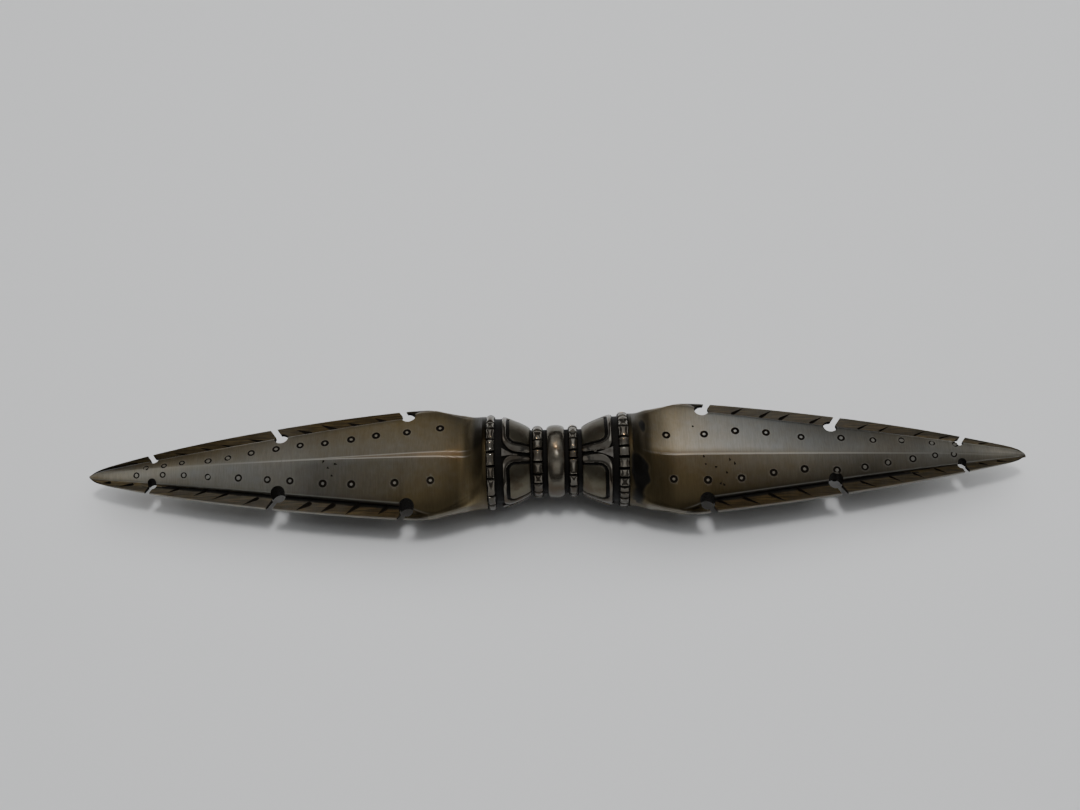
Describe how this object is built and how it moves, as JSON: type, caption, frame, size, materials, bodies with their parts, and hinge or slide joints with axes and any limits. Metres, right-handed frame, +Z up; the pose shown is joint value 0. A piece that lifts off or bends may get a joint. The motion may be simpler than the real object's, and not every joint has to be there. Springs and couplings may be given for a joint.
{
  "type": "double-ended ritual dagger",
  "caption": "Double-ended ritual dagger of dark forged steel: two flat ridged blades with notched fins, joined by a waisted lotus hub with beaded rings and a round knop.",
  "frame": {"origin": "middle of the dagger's length and width, on the surface that the two outer beaded rings rest on", "axes": "+X along the dagger towards the right blade's tip, +Y across the flat of the blades, +Z up out of the blades' upper faces"},
  "size_m": [0.2608, 0.0338, 0.0268],
  "materials": {
    "dark_blade_steel": "brushed dark grey steel with olive-brown patina",
    "polished_hub_steel": "worn bright on the high places, black in the grooves",
    "plain_rod_steel": "plain dull steel, hidden inside the hub"
  },
  "bodies": {
    "root": {"centre_knop": "polished_hub_steel", "left_inner_beaded_ring": "polished_hub_steel", "left_lotus_cup": "polished_hub_steel", "left_outer_beaded_ring": "polished_hub_steel", "left_blade": "dark_blade_steel", "right_inner_beaded_ring": "polished_hub_steel", "right_lotus_cup": "polished_hub_steel", "right_outer_beaded_ring": "polished_hub_steel", "right_blade": "dark_blade_steel", "hub_spindle": "plain_rod_steel"}
  },
  "joints": []
}
